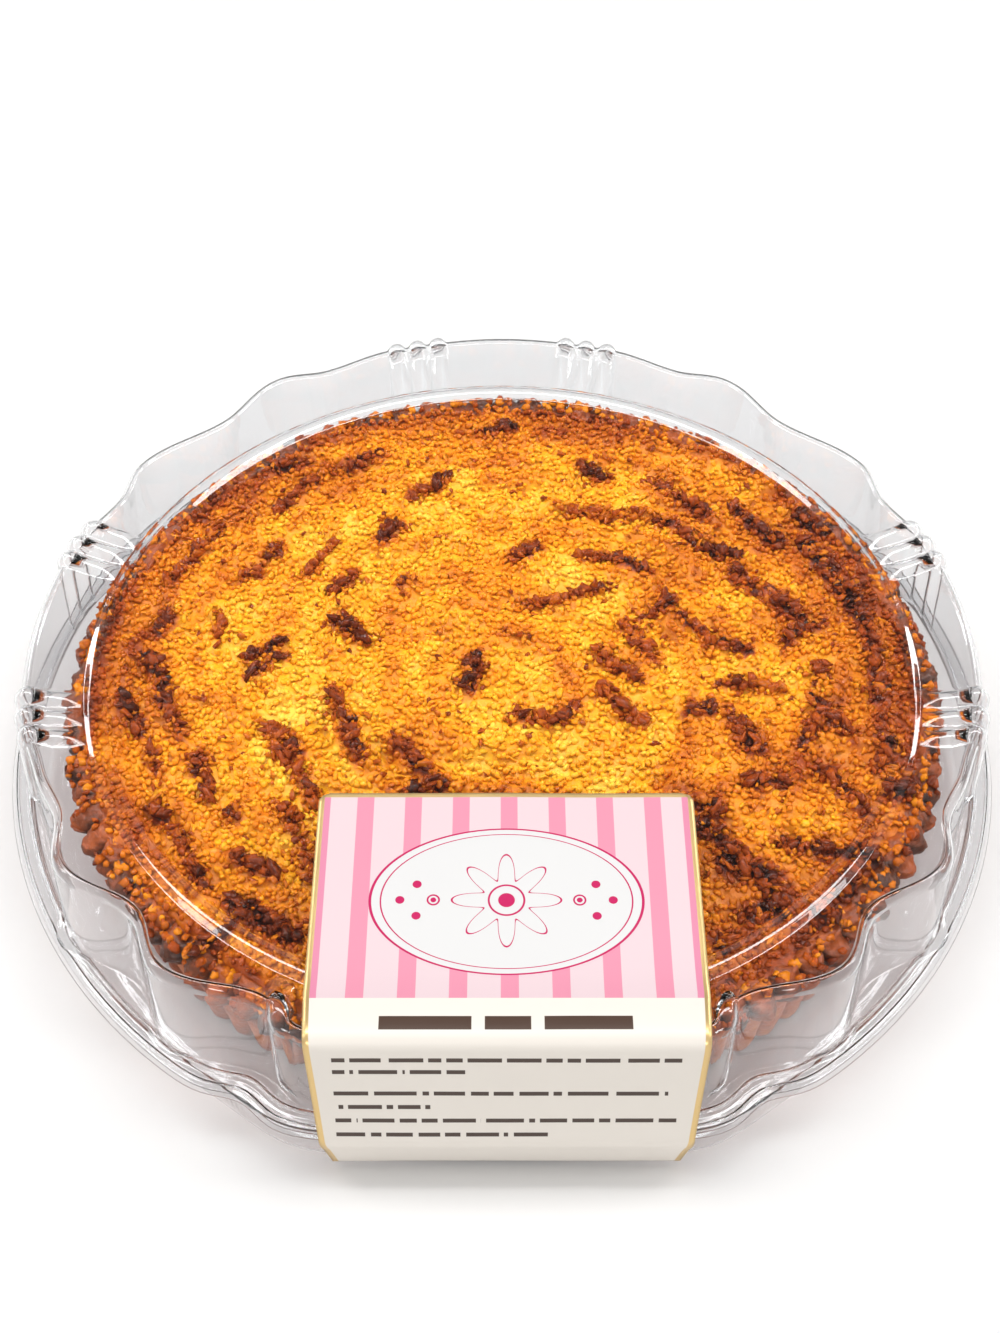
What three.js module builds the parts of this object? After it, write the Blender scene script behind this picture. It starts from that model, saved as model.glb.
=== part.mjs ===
// A coconut tart in its shut retail pack: a fluted shortcrust shell with a baked coconut filling,
// in a clear thermoformed tray under a clear lid with a scalloped edge, sealed by a paper label
// that runs from the lid's top down its flat front and under the flange.
// Millimetres, +Z up, front of the pack at -Y, origin at the bottom centre of the whole pack.

import * as THREE from "three";

// ---- driving dimensions ----------------------------------------------------------------------
const WALL = 0.5; // sheet thickness of tray and lid
const GAP = 0.3; // air left between pieces that touch

const FLANGE_R = 135; // outer radius of the flange, round the sides and back
const FLANGE_FRONT = 126.2; // the flange's straight front edge, from the pack's axis
const FLANGE_Z = 16.4; // top of the lid's flange
const CURL = 2.8; // height of the curled edge that grips the tray's flange
const NOTCH = { bearing: 28.5, width: 3.5, depth: 3.4 }; // dip beside the front panel

const TRAY_R = 128.5; // bottom radius of the tray
const TRAY_FRONT = 123.2; // its straight front
const TRAY_CORNER = { bearing: 21, width: 8, out: 3.2 }; // fuller corners of that front
const TRAY_FLANGE_Z = 15.5;

const LID_TOP = 44.2; // the flat panel inside the ring
const RING_R = 108.2; // middle of the raised ring on the lid
const RING_HALF = 2;
const RING_Z = 45;
const SHOULDER_Z = 47.4; // highest line of the lid, all round its scalloped edge
const EDGE_ROUND = 1.6;
const LID_FRONT = 117.6; // the lid's flat front panel, from the pack's axis
const DRAFT = 0.9; // how much wider the lid's wall is at its foot

// Bearing from the front, in degrees, and reach of the lid's edge, in mm, at each crest and each
// hollow of the scallops on one side. The other side mirrors them.
const SCALLOPS = [
  [0, 134],
  [16, 134],
  [27.6, 122],
  [39, 128.6],
  [46.9, 122.3],
  [57.3, 129.6],
  [64.7, 124.2],
  [71, 125.6],
  [80, 127.3],
  [108.5, 127.8],
  [117.2, 125.6],
  [125, 130],
  [137.4, 125.6],
  [148.5, 132.3],
  [155.2, 128.8],
  [165, 131.4],
  [180, 132.3],
];

// Groups of raised ribs over the lid's shoulder and down its wall. The ribs of a group run side by
// side towards one heading, which isn't quite the bearing of the group.
const RIB_GROUPS = [
  { bearing: 24.2, heading: 0, count: 1 },
  { bearing: 80, heading: 90, count: 3 },
  { bearing: 108.7, heading: 104, count: 3 },
  { bearing: 168.3, heading: 172.5, count: 3 },
];
const RIB_PITCH = 6.5;
const RIB_TOP = 3.2; // width across a rib's crest
const RIB_LIFT = 1.5;
const RIB_REACH = 127; // radius at which the pitch is measured

const TART_CENTRE = new THREE.Vector2(0.5, 3.5); // the tart sits a little towards the back
const FLUTES = 90;
const FLUTE_DEPTH = 1.3;
const CRUST_FOOT_R = 113;
const CRUST_WALL_R = 116;
const RIM_R = 119.6;
const KNOB = 1.2; // lumps on the rim, one to each flute
const RIM_Z = 30.6;
const CRUST_BASE = 4.5; // thickness of the pastry under the filling
const FILLING_R = 112.8;
const DOME_Z = 35.5;
const DOME_UNEVEN = 0.7;

const LABEL_WIDTH = 93.5;
const LABEL_THICK = 0.3;
const LABEL_FOOT_SHARE = 0.9; // its width at the bottom edge, as a share of the full width

const STEP = 5; // degrees between plain stations round the lid and the tray
const DOME_SEGMENTS = 64;

// The pack is shorter at its straight front than at its round back, so its axis lies this far
// behind the middle of its length.
const LABEL_FRONT = FLANGE_FRONT + GAP + LABEL_THICK;
const AXIS_Y = -(FLANGE_R - LABEL_FRONT) / 2;

// ---- outlines as reach over bearing -------------------------------------------------------------
const radians = THREE.MathUtils.degToRad;
const lerp = THREE.MathUtils.lerp;

// Bearing folded to one side of the pack: 0 at the front, 180 at the back.
const fold = (degrees) => Math.abs(((degrees + 540) % 360) - 180);

const bump = (degrees, { bearing, width }) => Math.exp(-(((fold(degrees) - bearing) / width) ** 2));

// The smaller of two reaches, rounded where they cross.
const softMin = (a, b) => (a ** -60 + b ** -60) ** (-1 / 60);

// Distance to a straight front edge along a bearing.
function frontReach(degrees, front) {
  const along = Math.cos(radians(fold(degrees)));
  return along > 0.2 ? front / along : front / 0.2;
}

// Half a cosine wave from each crest of the scallops to the next hollow.
function scallopReach(degrees) {
  const side = fold(degrees);
  const next = Math.max(1, SCALLOPS.findIndex(([bearing]) => bearing >= side));
  const [from, low] = SCALLOPS[next - 1];
  const [to, high] = SCALLOPS[next];
  const share = (1 - Math.cos((Math.PI * (side - from)) / (to - from))) / 2;
  return lerp(low, high, share);
}

const lidReach = (degrees) => softMin(scallopReach(degrees), frontReach(degrees, LID_FRONT));

const flangeReach = (degrees) =>
  softMin(FLANGE_R - NOTCH.depth * bump(degrees, NOTCH), frontReach(degrees, FLANGE_FRONT));

const trayReach = (degrees) =>
  softMin(TRAY_R + TRAY_CORNER.out * bump(degrees, TRAY_CORNER), frontReach(degrees, TRAY_FRONT));

// Bearings of the ribs' centre lines, on both sides of the pack.
const pitchAngle = THREE.MathUtils.radToDeg(RIB_PITCH / RIB_REACH);
const ribBearings = RIB_GROUPS.flatMap(({ bearing, count }) =>
  Array.from({ length: count }, (_, i) => bearing + (i - (count - 1) / 2) * pitchAngle),
).flatMap((bearing) => [bearing, 360 - bearing]);

// 1 on a rib's crest, falling to 0 halfway to the next rib.
function ribHeight(degrees) {
  const away = Math.min(...ribBearings.map((b) => Math.abs(((degrees - b + 540) % 360) - 180)));
  const flat = RIB_TOP / RIB_PITCH / 2;
  return THREE.MathUtils.clamp((0.5 - away / pitchAngle) / (0.5 - flat), 0, 1);
}

// How far a rib swings off its bearing, in degrees, where it is nearer the axis than the edge is.
function ribTurn(degrees, reach) {
  const group = RIB_GROUPS.find(
    ({ bearing, count }) => Math.abs(fold(degrees) - bearing) < (count / 2 + 0.1) * pitchAngle,
  );
  if (!group) return 0;
  const lean = Math.tan(radians(group.bearing - group.heading)) * (lidReach(degrees) / reach - 1);
  return Math.sign(180 - degrees) * THREE.MathUtils.radToDeg(lean);
}

// ---- closed shells ------------------------------------------------------------------------------
// A profile from the axis out and back to the axis, turned round the axis at the given bearings.
// place(point, bearing) gives each profile point's reach and height there, and how far it is
// swung off that bearing.
function turned(profile, bearings, place) {
  const geometry = new THREE.LatheGeometry(
    profile.map(() => new THREE.Vector2(1, 0)),
    bearings.length,
  );
  const position = geometry.getAttribute("position");
  for (let k = 0; k < position.count; k += 1) {
    const degrees = bearings[Math.floor(k / profile.length) % bearings.length];
    const [reach, height, turn = 0] = place(profile[k % profile.length], degrees);
    const angle = radians(degrees + turn);
    position.setXYZ(k, reach * Math.sin(angle), -reach * Math.cos(angle), height);
  }
  geometry.deleteAttribute("normal");
  geometry.deleteAttribute("uv");
  return geometry;
}

const evenBearings = (count) => Array.from({ length: count }, (_, i) => (i * 360) / count);

function named(name, geometry, colour, roughness, opacity = 1) {
  const material = new THREE.MeshStandardMaterial({
    color: colour,
    roughness,
    metalness: 0,
    transparent: opacity < 1,
    opacity,
  });
  geometry.computeVertexNormals();
  const mesh = new THREE.Mesh(geometry, material);
  mesh.name = name;
  return mesh;
}

// ---- tray: a shallow clear dish with a flat rim ---------------------------------------------------
// tray: offset from the tray's outline; flange: offset from the flange's outline
function makeTray() {
  const profile = [
    { r: 0, z: 0 },
    { tray: -2.2, z: 0 },
    { tray: 0, z: 2.2 },
    { tray: 1.2, z: TRAY_FLANGE_Z - WALL },
    { flange: -1.1, z: TRAY_FLANGE_Z - WALL },
    { flange: -1.1, z: TRAY_FLANGE_Z },
    { tray: 1.2 - WALL, z: TRAY_FLANGE_Z },
    { tray: -WALL, z: 2.4 },
    { tray: -2.4, z: WALL },
    { r: 0, z: WALL },
  ];
  const place = ({ r, tray, flange, z }, degrees) => {
    if (tray !== undefined) return [trayReach(degrees) + tray, z];
    if (flange !== undefined) return [flangeReach(degrees) + flange, z];
    return [r, z];
  };
  return named("tray", turned(profile, evenBearings(360 / STEP), place), 0xe9ecef, 0.08, 0.3);
}

// ---- lid: panel, ring, scalloped shoulder, ribs, wall and curled flange --------------------------
function makeLid() {
  const foot = DRAFT + 0.4;
  const under = FLANGE_Z - WALL;
  const profile = [
    { r: 0, z: LID_TOP - WALL },
    { r: RING_R + RING_HALF, z: LID_TOP - WALL },
    { edge: -EDGE_ROUND - WALL, z: SHOULDER_Z - WALL },
    { edge: -WALL, z: SHOULDER_Z - EDGE_ROUND },
    { edge: foot - WALL, z: under },
    { flange: -WALL, z: under },
    { flange: -WALL, z: FLANGE_Z - CURL },
    { flange: 0, z: FLANGE_Z - CURL },
    { flange: 0, z: FLANGE_Z - 0.8 },
    { flange: -0.7, z: FLANGE_Z },
    { mid: 0.5, z: FLANGE_Z + 0.8 },
    { edge: foot, z: FLANGE_Z },
    { edge: DRAFT, z: 18 },
    { edge: DRAFT * 0.85, z: 21, rib: [1, 0] },
    { edge: 0, z: SHOULDER_Z - EDGE_ROUND, rib: [1, 0.3] },
    { edge: -EDGE_ROUND, z: SHOULDER_Z, rib: [0.5, 0.8] },
    { r: RING_R + 5, z: LID_TOP + 0.9, rib: [0, 1] },
    { r: RING_R + RING_HALF, z: LID_TOP + 0.1 },
    { r: RING_R, z: RING_Z },
    { r: RING_R - RING_HALF, z: LID_TOP },
    { r: 0, z: LID_TOP },
  ];
  const place = ({ r, edge, mid, flange, z, rib = [0, 0] }, degrees) => {
    const lift = RIB_LIFT * ribHeight(degrees);
    const top = z + rib[1] * lift;
    if (mid !== undefined) {
      return [lerp(lidReach(degrees) + foot, flangeReach(degrees), mid), top];
    }
    if (edge !== undefined) return [lidReach(degrees) + edge + rib[0] * lift, top];
    if (flange !== undefined) return [flangeReach(degrees) + flange, top];
    return [r, top, rib[1] ? ribTurn(degrees, r) : 0];
  };
  // plain stations, left out where the closer ones that draw a rib take over
  const half = pitchAngle / 2;
  const flank = ((RIB_TOP / RIB_PITCH) * pitchAngle) / 2;
  const drawn = ribBearings.flatMap((b) => [b - half, b - flank, b + flank, b + half]);
  const plain = evenBearings(360 / STEP).filter((b) =>
    drawn.every((d) => Math.abs(b - d) > half),
  );
  const stations = [...drawn, ...plain].sort((a, b) => a - b);
  const bearings = stations.filter((b, i) => i === 0 || b - stations[i - 1] > 0.05);
  return named("lid", turned(profile, bearings, place), 0xeef1f4, 0.06, 0.25);
}

// ---- crust: fluted pastry shell with a lumpy rim ---------------------------------------------------
function makeCrust() {
  const base = WALL + GAP;
  const profile = [
    { r: 0, z: base },
    { r: CRUST_FOOT_R, z: base, flute: 0.6 },
    { r: CRUST_FOOT_R + 0.9, z: base + 1.4, flute: 1 },
    { r: CRUST_WALL_R, z: 25.5, flute: 1 },
    { r: RIM_R, z: 28, knob: 1 },
    { r: RIM_R - 2, z: RIM_Z, knob: 0.5 },
    { r: FILLING_R + GAP, z: RIM_Z - 0.6 },
    { r: FILLING_R + GAP - 2, z: base + CRUST_BASE },
    { r: 0, z: base + CRUST_BASE },
  ];
  const place = ({ r, z, flute = 0, knob = 0 }, degrees) => {
    const wave = Math.cos(radians(degrees * FLUTES));
    return [r + (wave - 1) * 0.5 * flute * FLUTE_DEPTH + wave * knob * KNOB, z + wave * knob * 0.3];
  };
  const crust = named("crust", turned(profile, evenBearings(2 * FLUTES), place), 0x8a4a20, 0.75);
  crust.position.set(TART_CENTRE.x, TART_CENTRE.y, 0);
  return crust;
}

// ---- filling: solid coconut mass with an uneven, slightly domed top --------------------------------
function makeFilling() {
  const floor = WALL + GAP + CRUST_BASE + GAP;
  const rings = [1, 0.85, 0.66, 0.44, 0.22];
  const profile = [
    { r: 0, z: floor },
    { r: FILLING_R - 2, z: floor },
    ...rings.map((share) => ({
      r: FILLING_R * share,
      z: lerp(DOME_Z, RIM_Z - 0.4, share ** 2),
      uneven: share < 1 ? 1 : 0.3,
    })),
    { r: 0, z: DOME_Z },
  ];
  const place = ({ r, z, uneven = 0 }, degrees) => {
    const ripple = Math.sin(radians(degrees * 5) + r * 0.31) + Math.sin(radians(degrees * 9) - r * 0.17);
    return [r, z + (uneven * DOME_UNEVEN * ripple) / 2];
  };
  const filling = named("filling", turned(profile, evenBearings(DOME_SEGMENTS), place), 0xd98a1e, 0.6);
  filling.position.set(TART_CENTRE.x, TART_CENTRE.y, 0);
  return filling;
}

// ---- label: one paper strip, bent over the lid's front edge and tucked under the flange ----------
function makeLabel() {
  // [y from the pack's axis, z] along the strip's inner face, from its back edge to its foot
  const route = [
    [-47, RING_Z + GAP],
    [-98, RING_Z + GAP],
    [-104, SHOULDER_Z - 1.4],
    [-110, SHOULDER_Z - 0.2],
    [-114.5, SHOULDER_Z + 0.5],
    [-LID_FRONT + 0.2, SHOULDER_Z + 0.1],
    [-LID_FRONT - 1.4, SHOULDER_Z - 2],
    [-FLANGE_FRONT - 0.1, FLANGE_Z + 1.6],
    [-FLANGE_FRONT - GAP, FLANGE_Z],
    [-FLANGE_FRONT - GAP, FLANGE_Z - CURL],
    [-TRAY_FRONT - 2.3, FLANGE_Z - CURL - 1.4],
    [-TRAY_FRONT - 0.9, 1.6],
  ].map(([y, z]) => new THREE.Vector2(y, z));
  // the outer face lies one thickness to the right of the way along the route
  const outer = route.map((point, i) => {
    const ahead = route[Math.min(i + 1, route.length - 1)];
    const behind = route[Math.max(i - 1, 0)];
    const way = ahead.clone().sub(behind).normalize();
    return new THREE.Vector2(way.y, -way.x).multiplyScalar(LABEL_THICK).add(point);
  });
  const outline = new THREE.Shape([...route, ...outer.reverse()]);
  const geometry = new THREE.ExtrudeGeometry(outline, { depth: LABEL_WIDTH, bevelEnabled: false });
  // the outline's x and y become the strip's y and z; its width narrows below the front edge
  const position = geometry.getAttribute("position");
  for (let k = 0; k < position.count; k += 1) {
    const z = position.getY(k);
    const drop = THREE.MathUtils.clamp((SHOULDER_Z - z) / SHOULDER_Z, 0, 1);
    const onFront = position.getX(k) < -LID_FRONT ? 1 : 0;
    const across = position.getZ(k) - LABEL_WIDTH / 2;
    position.setXYZ(k, across * lerp(1, LABEL_FOOT_SHARE, drop * onFront), position.getX(k), z);
  }
  geometry.deleteAttribute("normal");
  geometry.deleteAttribute("uv");
  return named("label", geometry, 0xf6dfe2, 0.5);
}

const pack = new THREE.Group();
pack.add(makeTray(), makeLid(), makeCrust(), makeFilling(), makeLabel());
pack.position.y = AXIS_Y;

const part = new THREE.Group();
part.add(pack);

export default part;
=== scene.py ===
import bpy
import numpy as np
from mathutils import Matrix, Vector


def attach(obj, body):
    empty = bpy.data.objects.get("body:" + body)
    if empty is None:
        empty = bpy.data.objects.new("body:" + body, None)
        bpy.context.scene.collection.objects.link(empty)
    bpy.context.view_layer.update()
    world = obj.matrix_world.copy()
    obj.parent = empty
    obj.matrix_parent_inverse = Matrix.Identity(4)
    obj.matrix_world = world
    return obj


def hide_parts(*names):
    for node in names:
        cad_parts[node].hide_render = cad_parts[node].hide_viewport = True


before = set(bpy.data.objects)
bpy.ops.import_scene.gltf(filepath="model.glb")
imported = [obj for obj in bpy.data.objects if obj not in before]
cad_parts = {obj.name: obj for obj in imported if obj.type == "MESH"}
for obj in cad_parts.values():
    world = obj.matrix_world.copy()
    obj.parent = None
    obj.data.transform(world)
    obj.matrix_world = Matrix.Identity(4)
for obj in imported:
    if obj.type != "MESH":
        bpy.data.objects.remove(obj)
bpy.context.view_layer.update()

# All sections measure in millimetres from the pack's axis, z up from the table, and bearings in
# degrees from the front. AXIS_Y is where that axis lies in the frame.
AXIS_Y = -4.1


# ==== tray =======================================================================================
# The lower dish of the pack: clear PET sheet of about 0.4 mm, drawn over a mould, with a nearly
# upright wall and a flat rim that the lid's flange grips. Its front is straight under the label.

def linear(hex_colour):
    """sRGB hex colour as linear RGBA: c / 12.92 below 0.04045, else ((c + 0.055) / 1.055) ** 2.4."""
    c = np.array([int(hex_colour[i:i + 2], 16) for i in (1, 3, 5)]) / 255
    return (*np.where(c <= 0.04045, c / 12.92, ((c + 0.055) / 1.055) ** 2.4), 1.0)


def node(tree, kind, inputs=None, **settings):
    """Adds a node. settings are its properties; inputs maps a socket's name or number to a value or
    to the output that feeds it."""
    made = tree.nodes.new(kind)
    for key, value in settings.items():
        setattr(made, key, value)
    for key, value in (inputs or {}).items():
        if isinstance(value, bpy.types.NodeSocket):
            tree.links.new(value, made.inputs[key])
        else:
            made.inputs[key].default_value = value
    return made


def material(name):
    """An empty node material: its node tree and the material."""
    made = bpy.data.materials.new(name)
    made.use_nodes = True
    made.node_tree.nodes.clear()
    return made.node_tree, made


def piece(name, points, faces, look, values=None):
    """Smooth mesh object from points in mm round the pack's axis. faces is a list of whole arrays of
    vertex numbers, one row a face; values maps an attribute's name to one number per point."""
    mesh = bpy.data.meshes.new(name)
    place = np.asarray(points, float).reshape(-1, 3) + (0, AXIS_Y, 0)
    mesh.vertices.add(len(place))
    mesh.vertices.foreach_set("co", (place * 0.001).ravel().astype(np.float32))
    loops = np.concatenate([np.asarray(f).ravel() for f in faces]).astype(np.int32)
    sides = np.concatenate([np.full(len(f), np.asarray(f).shape[1]) for f in faces])
    mesh.loops.add(len(loops))
    mesh.loops.foreach_set("vertex_index", loops)
    mesh.polygons.add(len(sides))
    starts = np.concatenate([[0], np.cumsum(sides)[:-1]]).astype(np.int32)
    mesh.polygons.foreach_set("loop_start", starts)
    mesh.polygons.foreach_set("use_smooth", np.ones(len(sides), bool))
    mesh.update(calc_edges=True)
    for key, numbers in (values or {}).items():
        mesh.attributes.new(key, "FLOAT", "POINT").data.foreach_set(
            "value", np.asarray(numbers, np.float32).ravel())
    mesh.validate()
    mesh.materials.append(look)
    made = bpy.data.objects.new(name, mesh)
    bpy.context.collection.objects.link(made)
    return made


def quads(rows, columns, first=0, turn=False):
    """Faces of a grid of points stored row by row, closed round along its rows. The corners run
    (i, j), (i, j + 1), (i + 1, j + 1), (i + 1, j), or the other way round with turn."""
    i, j = np.meshgrid(np.arange(rows - 1), np.arange(columns), indexing="ij")
    k = (j + 1) % columns
    made = np.stack([i * columns + j, i * columns + k, (i + 1) * columns + k, (i + 1) * columns + j], -1)
    made = made.reshape(-1, 4) + first
    return made[:, ::-1] if turn else made


def fan(ring, tip, turn=False):
    """Triangles from a closed ring of vertex numbers to one tip."""
    made = np.stack([ring, np.roll(ring, -1), np.full(len(ring), tip)], -1)
    return made[:, ::-1] if turn else made


def fold(bearing):
    """Bearing brought to one side of the pack: 0 at the front, 180 at the back."""
    return np.abs((bearing + 540) % 360 - 180)


def soft_min(a, b):
    """The smaller of two reaches, rounded where they cross: (a^-60 + b^-60)^(-1/60)."""
    return (a ** -60.0 + b ** -60.0) ** (-1 / 60)


def front_reach(bearing, front):
    """Distance from the axis to a straight front edge along a bearing: front / cos(bearing)."""
    return front / np.maximum(np.cos(np.radians(fold(bearing))), 0.2)


def flange_reach(bearing):
    """Outline of the flange: a 135 mm circle, a dip at 28.5 degrees, a straight front at 126.2 mm."""
    dip = 3.4 * np.exp(-((fold(bearing) - 28.5) / 3.5) ** 2)
    return soft_min(135 - dip, front_reach(bearing, 126.2))


def tray_reach(bearing):
    """Outline of the tray's foot: a 128.5 mm circle with fuller corners beside its straight front."""
    corner = 3.2 * np.exp(-((fold(bearing) - 21) / 8) ** 2)
    return soft_min(128.5 + corner, front_reach(bearing, 123.2))


def rounded(corners, cuts, steps=5):
    """Lines with rounded corners, for all bearings at once. corners is (points, bearings, 2); each
    corner is cut back by its share of mm on both legs and bridged by a parabola of some steps."""
    rows = []
    for n, cut in enumerate(cuts):
        here = corners[n]
        if not cut:
            rows.append(here)
            continue
        back, ahead = corners[n - 1] - here, corners[n + 1] - here
        long_back = np.linalg.norm(back, axis=-1, keepdims=True)
        long_ahead = np.linalg.norm(ahead, axis=-1, keepdims=True)
        start = here + back / long_back * np.minimum(cut, 0.48 * long_back)
        end = here + ahead / long_ahead * np.minimum(cut, 0.48 * long_ahead)
        for t in np.linspace(0, 1, steps):
            rows.append((1 - t) ** 2 * start + 2 * t * (1 - t) * here + t ** 2 * end)
    return np.stack(rows)


def turned(profile, bearing):
    """Points (reach sin b, -reach cos b, z) of a profile (points, bearings, 2) round the axis."""
    angle, reach = np.radians(bearing), profile[..., 0]
    return np.stack([reach * np.sin(angle), -reach * np.cos(angle), profile[..., 1]], -1)


def normals(grid):
    """Unit normals of a grid closed round along its rows: the cross product of its two slopes."""
    along = np.gradient(grid, axis=0)
    across = np.roll(grid, -1, axis=1) - np.roll(grid, 1, axis=1)
    made = np.cross(across, along)
    return made / np.maximum(np.linalg.norm(made, axis=-1, keepdims=True), 1e-9)


SHEET = 0.4  # thickness of the clear sheet


def sheet_shell(grid, thick, out):
    """A closed sheet: the grid as its outer face, and the same grid moved in by thick along its
    normals as its inner face, joined at the rim and closed at the axis on both faces. out is 1 where
    the grid's own normals point outward, or -1."""
    inner = grid - out * thick * normals(grid)
    rows, columns = grid.shape[:2]
    inner_first = rows * columns
    tips = np.array([grid[0].mean(0), inner[0].mean(0)])
    points = np.concatenate([grid.reshape(-1, 3), inner.reshape(-1, 3), tips])
    ring = np.arange(columns)
    rim = (rows - 1) * columns + ring
    hem = np.stack([rim, np.roll(rim, -1), np.roll(rim, -1) + inner_first, rim + inner_first], -1)
    faces = [quads(rows, columns), quads(rows, columns, inner_first, True), hem,
             fan(ring, 2 * inner_first, True), fan(ring + inner_first, 2 * inner_first + 1)]
    return points, faces if out > 0 else [f[:, ::-1] for f in faces]


def clear_sheet(name, tint):
    """Clear PET sheet: smooth, with no colour of its own. Lamps shine through it, and each face
    dims them by the tint, as the real sheet throws a pale shadow."""
    tree, made = material(name)
    body = node(tree, "ShaderNodeBsdfPrincipled", {
        "Base Color": linear("#fbfcfd"), "Roughness": 0.02, "IOR": 1.53, "Transmission Weight": 1.0})
    through = node(tree, "ShaderNodeBsdfTransparent", {"Color": linear(tint)})
    lamp = node(tree, "ShaderNodeLightPath")
    mixed = node(tree, "ShaderNodeMixShader", {
        0: lamp.outputs["Is Shadow Ray"], 1: body.outputs[0], 2: through.outputs[0]})
    node(tree, "ShaderNodeOutputMaterial", {"Surface": mixed.outputs[0]})
    return made


bearing = np.arange(0, 360, 0.75)
foot, lip = tray_reach(bearing), flange_reach(bearing)
# each corner of the profile, from the middle of the bottom to the rim: [reach, z]
tray_line = [
    (4 + 0 * foot, 0.1), (foot - 14, 0.1), (foot - 12.5, 0.6), (foot - 6.5, 0.6), (foot - 5, 0.1),
    (foot, 0.1), (foot + 1.2, 15.0), (lip - 1.25, 15.0), (lip - 1.1, 15.0)]
corners = np.stack([np.stack([r, z + 0 * r], -1) for r, z in tray_line])
profile = rounded(corners, [0, 1, 1, 1, 1, 3, 0.8, 0, 0], 6)
points, faces = sheet_shell(turned(profile, bearing), SHEET, 1)
tray = piece("clear_tray", points, faces, clear_sheet("clear_tray_pet", "#ddd5d3"))
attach(tray, "root")
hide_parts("tray")


# ==== crust ======================================================================================
# The pastry shell: sweet shortcrust about 5 mm thick, pressed into a fluted tin of 90 flutes and
# baked dark. Each flute swells into a lumpy caramelised knob where it stood above the tin's edge.

def noise(x, y, seed):
    """Smooth noise from -1 to 1: random numbers on whole coordinates, blended by 3 t^2 - 2 t^3."""
    def value(i, j):
        n = (i * 374761393 + j * 668265263 + seed * 974634777) & 0x7FFFFFFF
        n = ((n ^ (n >> 13)) * 1274126177) & 0x7FFFFFFF
        return ((n ^ (n >> 16)) & 0xFFFF) / 32767.5 - 1
    i, j = np.floor(x).astype(np.int64), np.floor(y).astype(np.int64)
    u, v = x - i, y - j
    u, v = u * u * (3 - 2 * u), v * v * (3 - 2 * v)
    low = value(i, j) * (1 - u) + value(i + 1, j) * u
    high = value(i, j + 1) * (1 - u) + value(i + 1, j + 1) * u
    return low * (1 - v) + high * v


def rough(x, y, seed, octaves=4):
    """Layers of noise, each half as large and half as strong as the last."""
    return sum(noise(x * 2 ** n, y * 2 ** n, seed + 7 * n) / 2 ** n for n in range(octaves))


TART_X, TART_Y = 0.5, 3.5  # the tart's middle: it lies a little behind the pack's axis
flute_count = 90
columns = 16 * flute_count
bearing = np.arange(columns) * 360 / columns
wave = np.abs(np.cos(np.radians(bearing * flute_count / 2)))
flute_id = np.floor(bearing * flute_count / 360 + 0.5) % flute_count
vary = noise(flute_id * 3.7, 0 * flute_id, 5)
vary_out = noise(flute_id * 5.3, 0 * flute_id, 9)
# each row: [reach, z, how far the flutes cut in, how far the knobs swell, roughness]
crust_rows = [
    (4, 0.9, 0, 0, 0), (60, 0.9, 0, 0, 0), (108, 0.9, 0, 0, 0), (112, 0.9, 0.6, 0, 0.1),
    *[(114.2 + 3.0 * t ** 0.9, 1.1 + 21.5 * t, 1, 0, 0.35) for t in np.linspace(0.0, 1, 17)],
    *[(117.2 - 0.9 * t ** 3, 23.0 + 6.6 * t, 1 - 0.4 * t, np.sin(np.pi * (0.12 + 0.8 * t)) ** 0.8, 0.9)
      for t in np.linspace(0, 1, 13)],
    *[(116.2 - 4.4 * t, 29.8 + 0.6 * np.sin(np.pi * t), 0.5 * (1 - t), 0.4 * (1 - t), 0.8)
      for t in np.linspace(0.1, 1, 8)],
    (111.6, 29.0, 0, 0, 0.3), (111.0, 27, 0, 0, 0.1), (109.5, 12, 0, 0, 0), (109, 5.4, 0, 0, 0),
    (60, 5.4, 0, 0, 0), (4, 5.4, 0, 0, 0)]
reach, height, cut, swell, grain = (np.array(c)[:, None] for c in zip(*crust_rows))
arc = np.radians(bearing)[None] * 116  # mm round the rim
rows = len(crust_rows)
along = np.arange(rows)[:, None] * 1.1
lumps = rough(arc / 5.5, along / 4.5, 21, 4) * 0.9 + np.abs(rough(arc / 2.4, along / 2.2, 33, 3)) * 0.7
out = (reach - 2.6 * cut * (1 - wave ** 0.55)
       + swell * (2.7 + 1.2 * vary_out) * wave ** 0.5
       + grain * lumps * np.where(swell > 0.05, 1.0, 0.45))
up = (height + swell * (1.0 * vary - 0.5 + 0.5 * wave)
      + grain * (height > 26) * rough(arc / 4, along / 3, 55, 3) * 1.1)
up = np.where(height > 22, np.minimum(up, 31.6), up)
grid = turned(np.stack([out, up], -1), bearing) + (TART_X, TART_Y, 0)
# darker on the knobs' tops, where caramel sets, and paler on the flutes' backs; the grooves between the
# flutes are darkened by painted shade
tone = (0.59 + 0.20 * rough(arc / 14, along / 10, 71, 3) + 0.30 * (1 - wave ** 0.4) * (cut > 0.3)
        + 0.22 * swell * (0.6 + vary) - 0.16 * (swell < 0.05))
tips = np.array([grid[0].mean(0), grid[-1].mean(0)])
ring, tip = np.arange(columns), rows * columns
points = np.concatenate([grid.reshape(-1, 3), tips])
faces = [quads(rows, columns), fan(ring, tip, True), fan(ring + tip - columns, tip + 1)]
values = {"tone": np.append(tone.clip(0, 1).ravel(), [0.5, 0.5])}


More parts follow.
